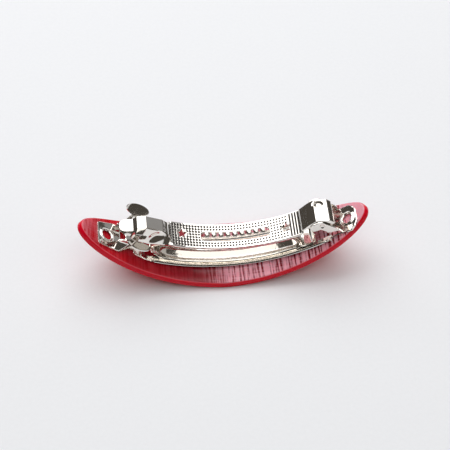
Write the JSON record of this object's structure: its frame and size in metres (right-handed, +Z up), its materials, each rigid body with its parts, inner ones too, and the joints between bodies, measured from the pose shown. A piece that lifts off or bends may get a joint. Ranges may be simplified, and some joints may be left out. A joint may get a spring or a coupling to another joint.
{
  "type": "hair clip with a bowed leaf-shaped plate and a spring clasp",
  "caption": "Bowed leaf-shaped translucent plate with a sprung sheet-metal clasp along its hollow side; a slotted arm hinges up at one end and latches between finger pads at the other.",
  "frame": {"origin": "lowest point of the plate, in the middle of its round outer face, where the clip rests on a flat surface", "axes": "+X along the clip towards the hinge, -Y the long side nearer to the viewer, +Z up, away from the surface it rests on"},
  "size_m": [0.0876, 0.0238, 0.02],
  "materials": {
    "red_acetate": "polished translucent red with fine cross streaks",
    "plated_steel": "bright nickel plating"
  },
  "bodies": {
    "base": {"plate": "red_acetate", "base": "plated_steel", "tension_bar": "plated_steel"},
    "arm": {"arm": "plated_steel"}
  },
  "joints": [
    {"name": "arm_hinge", "type": "hinge", "parent": "base", "child": "arm", "pos_m": [0.02913, 0, 0.01772], "axis": [0, 1, 0], "range_deg": [0, 80]}
  ]
}
